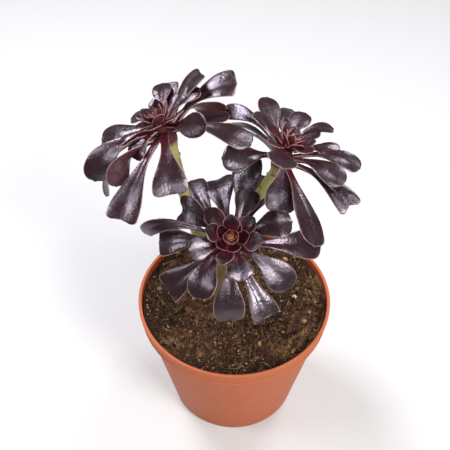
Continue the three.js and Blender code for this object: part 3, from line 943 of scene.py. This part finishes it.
def stem_tubes():
    """The trunk, and for each rosette its branch and the thick crown that holds the leaves."""
    parts = [tube(TRUNK_ROUTE, [TRUNK_RADIUS + 0.6, TRUNK_RADIUS, TRUNK_RADIUS - 0.8])]
    for rosette in ROSETTES:
        parts.append(tube(branch_route(rosette), [BRANCH_RADIUS + 0.8, BRANCH_RADIUS]))
        base, basis = crown_frame(rosette)
        crown = [base + basis[:, 2] * height for height in (-9, -3, CROWN_HEIGHT)]
        parts.append(tube(crown, [BRANCH_RADIUS, CROWN_RADIUS, CROWN_RADIUS - 0.6]))
    return parts


def make_stem(rng):
    points, faces, first = [], [], 0
    for part_points, part_faces in stem_tubes():
        faces += renumbered(part_faces, first)
        points.append(part_points)
        first += len(part_points)
    bark = new_material("stem_bark", stem_skin, 0.4)
    stem = new_object("stem_body", np.concatenate(points), faces, [bark])
    remesh = stem.modifiers.new("join", "REMESH")
    remesh.mode = "VOXEL"
    remesh.voxel_size = 0.6 * MM
    remesh.use_smooth_shade = True
    relax = stem.modifiers.new("relax", "SMOOTH")
    relax.iterations = 6
    relax.factor = 0.5
    apply_modifiers(stem)
    smooth_faces(stem.data)
    mark_crowns(stem.data)
    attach(stem, "root")
    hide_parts("branched_stem")
    make_scars(rng)


def mark_crowns(mesh):
    """Marks the ends of the branches, which the leaves' feet turn dark red."""
    places = np.empty(len(mesh.vertices) * 3)
    mesh.vertices.foreach_get("co", places)
    places = places.reshape(-1, 3) / MM
    share = np.zeros(len(places))
    for rosette in ROSETTES:
        base, basis = crown_frame(rosette)
        local = (places - base) @ basis
        near = np.hypot(local[:, 0], local[:, 1]) < 2 * CROWN_RADIUS
        share = np.maximum(share, near * smooth_step(-7, -3, local[:, 2]))
    add_attribute(mesh, "crown", share)


def scar_points(line, radius, share, turn, size):
    """A scar's middle and rim, at a share of a branch's line and a turn about it."""
    position = share * (len(line) - 1)
    low = min(int(position), len(line) - 2)
    ahead = line[low + 1] - line[low]
    centre = line[low] + ahead * (position - low)
    up = unit(ahead)
    level = unit(np.cross(up, ROUGHLY_ACROSS))
    out = level * math.cos(turn) + np.cross(up, level) * math.sin(turn)
    tangent = np.cross(up, out)
    points = [centre + out * (radius + SCAR_RISE)]
    for angle in ring_angles(SCAR_SIDES):
        wide = SCAR_HALF_WIDTH * size * math.cos(angle)
        tall = SCAR_HALF_HEIGHT * size * math.sin(angle) - SCAR_DROOP * abs(math.cos(angle))
        # The rim is sunk in the bark, and more so at the crescent's ends.
        depth = 0.25 + 0.04 * wide ** 2
        points.append(centre + out * (radius - depth) + tangent * wide + up * tall)
    return points


def make_scars(rng):
    """Shallow crescent scars of fallen leaves, in a spiral round the trunk and branches."""
    # Each route has its radius and the share at its start that carries no scars.
    routes = [(smooth_route(TRUNK_ROUTE, 30), TRUNK_RADIUS, 0.38)]
    for rosette in ROSETTES:
        routes.append((smooth_route(branch_route(rosette), 30), BRANCH_RADIUS + 0.35, 0.22))
    rim = range(1, SCAR_SIDES + 1)
    cap = [(0, corner, corner % SCAR_SIDES + 1) for corner in rim]
    scar_faces = [*cap, tuple(reversed(rim))]
    points, faces = [], []
    for line, radius, skip in routes:
        length = np.linalg.norm(np.diff(line, axis=0), axis=1).sum()
        count = int(length * (1 - skip) / SCAR_SPACING)
        for index in range(count):
            share = skip + (1 - skip) * (index + 0.5) / count
            faces += renumbered(scar_faces, len(points))
            points += scar_points(line, radius, share, index * GOLDEN_ANGLE,
                                  rng.uniform(0.8, 1.15))
    cork = new_material("leaf_scar", scar_skin, 0.3)
    scars = new_object("stem_leaf_scars", np.array(points), faces, [cork], "stem")
    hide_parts("branched_stem")


# ---- Pot ----

def wall_radius(z):
    """The outer radius of the tapered wall below the rim band."""
    return BASE_RADIUS + (WALL_TOP_RADIUS - BASE_RADIUS) * (z / BAND_BOTTOM)


def rounded(corners):
    """An outline through (radius, z, bend) corners, each rounded off from bend mm before it."""
    outline = []
    count = len(corners)
    for index, (radius, z, bend) in enumerate(corners):
        corner = np.array([radius, z], float)
        if bend == 0:
            outline.append(corner)
            continue
        before = bend * unit(np.array(corners[index - 1][:2], float) - corner)
        after = bend * unit(np.array(corners[(index + 1) % count][:2], float) - corner)
        for t in np.linspace(0, 1, 5):
            outline.append(corner + before * (1 - t) ** 2 + after * t ** 2)
    return outline


def pot_outline():
    """The pot's section from the middle of its base, up the outside and down the inside."""
    lip_bottom = POT_HEIGHT - LIP_HEIGHT
    inner_top = RIM_RADIUS - RIM_BAND_STEP
    band_radius = RIM_RADIUS - RIM_BAND_STEP / 2 - 0.6
    bead_radius = band_radius + BAND_BEAD
    outline = rounded([
        (0.01, 0, 0),
        (BASE_RADIUS - 1, 0, 0.5),
        (wall_radius(1), 1, 0.5),
        (wall_radius(BAND_BOTTOM), BAND_BOTTOM, 0.5),
        (bead_radius, BAND_BOTTOM, 0.4),
        (bead_radius, BAND_BOTTOM + BAND_BEAD_HEIGHT, 0.3),
        (band_radius, BAND_BOTTOM + 1.5 * BAND_BEAD_HEIGHT, 0.4),
        (RIM_RADIUS - 0.8, lip_bottom, 0.25),
        (RIM_RADIUS, lip_bottom, 0.35),
        (RIM_RADIUS, POT_HEIGHT, 0.7),
        (inner_top, POT_HEIGHT, 0.7),
        (inner_top - RIM_TAPER, BAND_BOTTOM + 2, 1.0),
        (wall_radius(BAND_BOTTOM) - WALL, BAND_BOTTOM - 1, 1.0),
        (wall_radius(FLOOR_THICKNESS) - WALL, FLOOR_THICKNESS, 1.0),
        (0.01, FLOOR_THICKNESS, 0),
    ])
    # Long straight walls get extra rows, so that the mesh stays even.
    dense = [outline[0]]
    for first, second in zip(outline, outline[1:]):
        pieces = max(1, int(np.linalg.norm(second - first) / POT_ROW_SPACING))
        dense += [first + (second - first) * (step + 1) / pieces for step in range(pieces)]
    return np.array(dense)


def make_pot():
    outline = pot_outline()
    rows = len(outline)
    angle = ring_angles(POT_SEGMENTS)
    radius, height = outline[:, :1], outline[:, 1:]
    heights = np.repeat(height, POT_SEGMENTS, 1)
    points = np.stack([radius * np.cos(angle), radius * np.sin(angle), heights], -1)
    # The inside starts past the rounded corner of the rim's top, a few rows on.
    top_row = int(np.argmax(outline[:, 1] + outline[:, 0] * 0.001))
    inside = np.repeat((np.arange(rows) > top_row + 4).astype(float), POT_SEGMENTS)
    plastic = new_material("pot_plastic_skin", pot_skin, 0.25)
    pot = new_object("pot_shell", points.reshape(-1, 3), loft_faces(rows, POT_SEGMENTS),
                     [plastic], "pot_plastic", attributes={"inside": inside})
    cut_drain_holes(pot)
    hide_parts("pot")


def cut_drain_holes(pot):
    tool = bmesh.new()
    radius = DRAIN_HOLE_RADIUS * MM
    circle = DRAIN_CIRCLE_RADIUS * MM
    for hole in range(DRAIN_HOLES):
        angle = (hole + 0.5) * 2 * math.pi / DRAIN_HOLES
        centre = Matrix.Translation((circle * math.cos(angle), circle * math.sin(angle), 0))
        bmesh.ops.create_cone(tool, cap_ends=True, segments=40, radius1=radius, radius2=radius,
                              depth=3 * FLOOR_THICKNESS * MM, matrix=centre)
    mesh = bpy.data.meshes.new("drain_tool")
    tool.to_mesh(mesh)
    tool.free()
    cutter = bpy.data.objects.new("drain_tool", mesh)
    bpy.context.scene.collection.objects.link(cutter)
    cut = pot.modifiers.new("drain", "BOOLEAN")
    cut.operation = "DIFFERENCE"
    cut.object = cutter
    cut.solver = "EXACT"
    apply_modifiers(pot)
    bpy.data.objects.remove(cutter)
    bpy.data.meshes.remove(mesh)


# ---- Soil ----

def wave_field(rng, waves, shortest, longest):
    """A smooth random height function of x and y in mm, from seeded waves."""
    length = np.exp(rng.uniform(math.log(shortest), math.log(longest), waves))
    angle = rng.uniform(0, 2 * math.pi, waves)
    phase = rng.uniform(0, 2 * math.pi, waves)
    size = length ** 0.8
    size /= np.sqrt((size ** 2).sum() / 2)

    def height(x, y):
        total = np.zeros(np.shape(x))
        for index in range(waves):
            way = x * math.cos(angle[index]) + y * math.sin(angle[index])
            total += size[index] * np.sin(way * 2 * math.pi / length[index] + phase[index])
        return total

    return height


def soil_rings(surface, quick):
    """Rings of points over the soil's top, from the middle out, and down its wall."""
    angle = ring_angles(SOIL_SEGMENTS)
    radii = np.linspace(0.05, 1, SOIL_TOP_ROWS)[:, None] ** 0.8 * SOIL_RADIUS
    x = radii * np.cos(angle)
    y = radii * np.sin(angle)
    z = surface(x, y)
    x += quick(y * 1.3, x * 1.1) * 0.25 * (radii < SOIL_RADIUS - 1)
    rings = list(np.stack([x, y, z], -1))
    for level in SOIL_WALL_LEVELS:
        radius = SOIL_RADIUS if level > BAND_BOTTOM else wall_radius(level) - WALL - SOIL_GAP
        wall = [radius * np.cos(angle), radius * np.sin(angle), np.full(SOIL_SEGMENTS, level)]
        rings.append(np.stack(wall, -1))
    return rings


def make_soil(rng):
    slow = wave_field(rng, 24, 14, 60)
    quick = wave_field(rng, 60, 2.2, 9)

    def surface(x, y):
        radius = np.hypot(x, y)
        crown = SOIL_TOP + SOIL_CROWN * (1 - radius / SOIL_RADIUS)
        bank = smooth_step(SOIL_RADIUS - SOIL_BANK_WIDTH, SOIL_RADIUS, radius)
        uneven = 0.55 * slow(x, y) + 0.42 * quick(x, y)
        return crown - 0.9 + SOIL_BANK * bank + (1 - 0.4 * bank) * uneven

    rings = soil_rings(surface, quick)
    points = np.concatenate(rings)
    faces = [tuple(reversed(face)) for face in loft_faces(len(rings), SOIL_SEGMENTS)]
    x, y = points[:, 0], points[:, 1]
    tone = np.clip(0.30 + 0.16 * slow(y, x) + 0.10 * quick(x, y), 0, 0.85)
    peat = new_material("peat", soil_skin, 0.15)
    soil = new_object("soil_bed", points, faces, [peat], "potting_soil",
                      attributes={"tone": tone})
    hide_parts("soil")
    make_crumbs(rng, surface, peat)
    make_fibres(rng, surface)


def ball(level):
    """Points and faces of an icosphere of radius 1."""
    shape = bmesh.new()
    bmesh.ops.create_icosphere(shape, subdivisions=level, radius=1.0)
    points = np.array([vertex.co for vertex in shape.verts])
    faces = [[vertex.index for vertex in face.verts] for face in shape.faces]
    shape.free()
    return points, np.array(faces)


def scatter(rng, margin, count):
    """Random places on the soil, at least margin from the pot's wall."""
    radius = (SOIL_RADIUS - margin) * np.sqrt(rng.uniform(0, 1, count))
    angle = rng.uniform(0, 2 * math.pi, count)
    return zip(radius * np.cos(angle), radius * np.sin(angle))


def litter_object(name, points, faces, tones, material):
    """Joins many small bits, each with its points, its faces and one tone."""
    sizes = [len(bit) for bit in points]
    firsts = np.cumsum([0, *sizes[:-1]])
    joined = np.concatenate([bit + first for bit, first in zip(faces, firsts)])
    made = new_object(name, np.concatenate(points), joined.tolist(), [material],
                      "potting_soil", attributes={"tone": np.repeat(tones, sizes)})
    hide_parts("soil")


def make_crumbs(rng, surface, peat):
    """Lumps of peat, bark and grit lying on the soil."""
    points, faces, tones = [], [], []
    for kind in CRUMB_KINDS:
        round_points, round_faces = ball(kind.detail)
        for x, y in scatter(rng, 1.5, kind.count):
            size = kind.least + (kind.most - kind.least) * rng.uniform() ** 2.5
            lump = round_points * (1 + rng.normal(0, 0.16, (len(round_points), 1)))
            lump = lump * rng.uniform(0.5, 1.2, 3) * size
            spin = Matrix.Rotation(rng.uniform(0, 6.28), 3, Vector(rng.normal(0, 1, 3)))
            ground = surface(np.array([x]), np.array([y]))[0]
            points.append(lump @ np.array(spin) + [x, y, ground + size * 0.3])
            faces.append(round_faces)
            tone = np.clip(rng.normal(0.40, 0.28), 0, 0.9)
            if rng.uniform() < PALE_CRUMB_SHARE:
                tone = rng.uniform(0.92, 1.0)
            tones.append(tone)
    litter_object("soil_crumbs", points, faces, tones, peat)


def make_fibres(rng, surface):
    """Curved strands of peat fibre lying on and in the soil."""
    strand_faces = np.array(loft_faces(FIBRE_STEPS, FIBRE_SIDES, capped=False))
    taper = np.sin(np.linspace(0.25, math.pi - 0.25, FIBRE_STEPS))[:, None, None]
    points, faces, tones = [], [], []
    for x, y in scatter(rng, 5, FIBRE_COUNT):
        length = rng.uniform(2, 5) + 8 * rng.uniform() ** 4
        radius = rng.uniform(0.08, 0.20)
        heading = rng.uniform(0, 2 * math.pi) + np.cumsum(rng.normal(0, 0.28, FIBRE_STEPS))
        walk = np.stack([np.cos(heading), np.sin(heading)], 1) * length / FIBRE_STEPS
        line = np.array([x, y]) + np.cumsum(walk, 0)
        if np.hypot(line[:, 0], line[:, 1]).max() > SOIL_RADIUS - 0.8:
            continue
        arch = np.sin(np.linspace(0, math.pi, FIBRE_STEPS)) * rng.uniform(0.1, 1.2)
        ground = surface(line[:, 0], line[:, 1])
        line = np.column_stack([line, ground + 0.25 + arch])
        tangent = unit(np.gradient(line, axis=0))
        level = unit(np.cross(tangent, [0, 0, 1.0]))
        ring = circles(level, np.cross(level, tangent), FIBRE_SIDES)
        points.append((line[:, None] + ring * taper * radius).reshape(-1, 3))
        faces.append(strand_faces)
        tones.append(np.clip(rng.normal(0.38, 0.28), 0, 1))
    strands = new_material("peat_fibre", fibre_skin, 0.2)
    litter_object("soil_fibres", points, faces, tones, strands)


# ---- Stage: floor, light and camera ----

CAMERA_PITCH = 45.7
CAMERA_DISTANCE = 395.0
LOOK_AT = (-5.8, 0.0, 154.5)
LENS = 56.0
SENSOR_WIDTH = 36.0
FLOOR_HALF_SIZE = 3000.0

# Each lamp's place and side are in metres, and its power in watts.
Lamp = namedtuple("Lamp", "name place side power colour")
LAMPS = [
    Lamp("key", (0.51, -0.60, 0.77), 0.35, 9.7, (1.0, 0.98, 0.96)),
    Lamp("back_left", (-0.46, 0.46, 0.92), 0.35, 9.2, (0.95, 0.95, 1.0)),
    Lamp("back_right", (0.47, 0.47, 0.89), 0.35, 4.8, (0.96, 0.95, 1.0)),
    Lamp("left", (-0.75, -0.13, 0.79), 0.35, 3.4, (0.97, 0.97, 1.0)),
    Lamp("front", (0.0, -0.84, 0.70), 0.30, 1.8, (1.0, 1.0, 1.0)),
    Lamp("top_right", (0.29, -0.29, 1.06), 0.25, 1.2, (1.0, 1.0, 1.0)),
]
LAMP_TARGET = (0.0, 0.0, 0.15)
WORLD_STRENGTH = 0.18


def aimed(direction):
    """The rotation of a lamp or camera that looks in the given direction."""
    return direction.to_track_quat("-Z", "Y").to_euler()


def make_lamp(lamp):
    data = bpy.data.lights.new(lamp.name, "AREA")
    data.shape = "SQUARE"
    data.size = lamp.side
    data.energy = lamp.power
    data.color = lamp.colour
    made = bpy.data.objects.new(lamp.name, data)
    made.location = lamp.place
    made.rotation_euler = aimed(Vector(LAMP_TARGET) - Vector(lamp.place))
    bpy.context.scene.collection.objects.link(made)


def make_stage():
    half = FLOOR_HALF_SIZE
    corners = [(-half, -half, 0), (half, -half, 0), (half, half, 0), (-half, half, 0)]
    paper = new_material("floor_paper", floor_skin, 0.1)
    floor = new_object("floor", corners, [(0, 1, 2, 3)], [paper])
    world = bpy.data.worlds.new("studio")
    bpy.context.scene.world = world
    world.use_nodes = True
    background = world.node_tree.nodes["Background"]
    background.inputs["Color"].default_value = (1.0, 1.0, 1.0, 1.0)
    background.inputs["Strength"].default_value = WORLD_STRENGTH
    for lamp in LAMPS:
        make_lamp(lamp)


def make_camera():
    pitch = math.radians(CAMERA_PITCH)
    ahead = Vector((0, math.cos(pitch), -math.sin(pitch)))
    data = bpy.data.cameras.new("camera")
    data.lens = LENS
    data.sensor_width = SENSOR_WIDTH
    data.clip_start = 0.01
    camera = bpy.data.objects.new("camera", data)
    camera.location = (Vector(LOOK_AT) - ahead * CAMERA_DISTANCE) * MM
    camera.rotation_euler = aimed(ahead)
    bpy.context.scene.collection.objects.link(camera)
    bpy.context.scene.camera = camera


# ---- Build ----

rng = np.random.default_rng(7)
make_camera()
make_stage()
make_pot()
make_soil(rng)
make_stem(rng)
fringe_hairs = new_material("margin_fringe", fringe_skin, 0.3)
leaf_materials = [new_material("leaf_skin", leaf_skin, 0.92, LEAF_SHEEN), fringe_hairs]
bud_materials = [new_material("bud_leaf_skin", bud_skin, 0.5, BUD_SHEEN), fringe_hairs]
for rosette in ROSETTES:
    make_leaves(rosette, rng, leaf_materials)
    make_bud(rosette, rng, bud_materials)

scene = bpy.context.scene
scene.view_settings.view_transform = "Standard"
scene.view_settings.look = "None"
